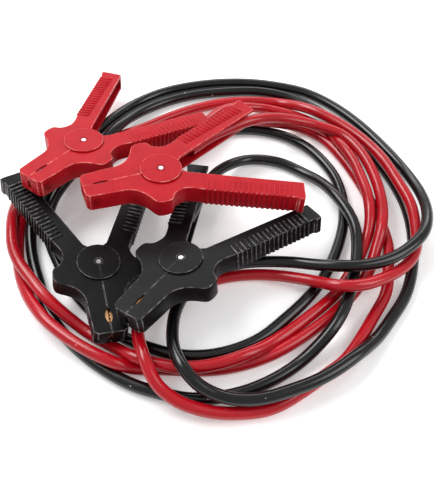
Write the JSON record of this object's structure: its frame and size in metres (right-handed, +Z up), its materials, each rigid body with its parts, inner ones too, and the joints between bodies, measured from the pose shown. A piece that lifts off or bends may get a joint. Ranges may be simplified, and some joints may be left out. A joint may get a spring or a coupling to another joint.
{
  "type": "car jumper cable",
  "caption": "Car jumper cable set: coiled red and black leads with ribbed, sprung, colour-matched battery clamps at their ends.",
  "frame": {"origin": "on the floor, under the middle of the clamps' bounding box", "axes": "+Z up from the floor the set lies on; +Y away from the side it is seen from; +X to the right in that view"},
  "size_m": [0.3281, 0.3255, 0.0613],
  "materials": {
    "clamp_red": "moulded, satin",
    "clamp_black": "moulded, matte with worn edges",
    "cable_red": "glossy",
    "cable_black": "glossy",
    "jaw_copper": "copper coloured plate",
    "steel": "plain"
  },
  "bodies": {
    "leads": {"red1_half_b": "clamp_red", "red1_jaw_b": "jaw_copper", "red1_rivet": "steel", "red1_spring": "steel", "red2_half_a": "clamp_red", "red2_jaw_a": "jaw_copper", "red2_rivet": "steel", "red2_spring": "steel", "black1_half_b": "clamp_black", "black1_jaw_b": "jaw_copper", "black1_rivet": "steel", "black1_spring": "steel", "black2_half_a": "clamp_black", "black2_jaw_a": "jaw_copper", "black2_rivet": "steel", "black2_spring": "steel", "red_cable": "cable_red", "black_cable": "cable_black"},
    "red_clamp_1_handle": {"red1_half_a": "clamp_red", "red1_jaw_a": "jaw_copper"},
    "red_clamp_2_handle": {"red2_half_b": "clamp_red", "red2_jaw_b": "jaw_copper"},
    "black_clamp_1_handle": {"black1_half_a": "clamp_black", "black1_jaw_a": "jaw_copper"},
    "black_clamp_2_handle": {"black2_half_b": "clamp_black", "black2_jaw_b": "jaw_copper"}
  },
  "joints": [
    {"name": "red_clamp_1_hinge", "type": "hinge", "parent": "leads", "child": "red_clamp_1_handle", "pos_m": [-0.05858, 0.02742, 0.03472], "axis": [-0.062, -0.1566, -0.9857], "range_deg": [0, 32], "stiffness_Nm_per_rad": 0.6, "springref_deg": -28.65},
    {"name": "red_clamp_2_hinge", "type": "hinge", "parent": "leads", "child": "red_clamp_2_handle", "pos_m": [0.00423, -0.01452, 0.04866], "axis": [0.0613, 0.0915, 0.9939], "range_deg": [0, 32], "stiffness_Nm_per_rad": 0.6, "springref_deg": -28.65},
    {"name": "black_clamp_1_hinge", "type": "hinge", "parent": "leads", "child": "black_clamp_1_handle", "pos_m": [-0.03923, -0.07454, 0.01855], "axis": [-0.1838, -0.0514, -0.9816], "range_deg": [0, 4], "stiffness_Nm_per_rad": 0.6, "springref_deg": -28.65},
    {"name": "black_clamp_2_hinge", "type": "hinge", "parent": "leads", "child": "black_clamp_2_handle", "pos_m": [0.02079, -0.08033, 0.03053], "axis": [-0.0623, 0.1636, 0.9846], "range_deg": [0, 32], "stiffness_Nm_per_rad": 0.6, "springref_deg": -28.65}
  ]
}
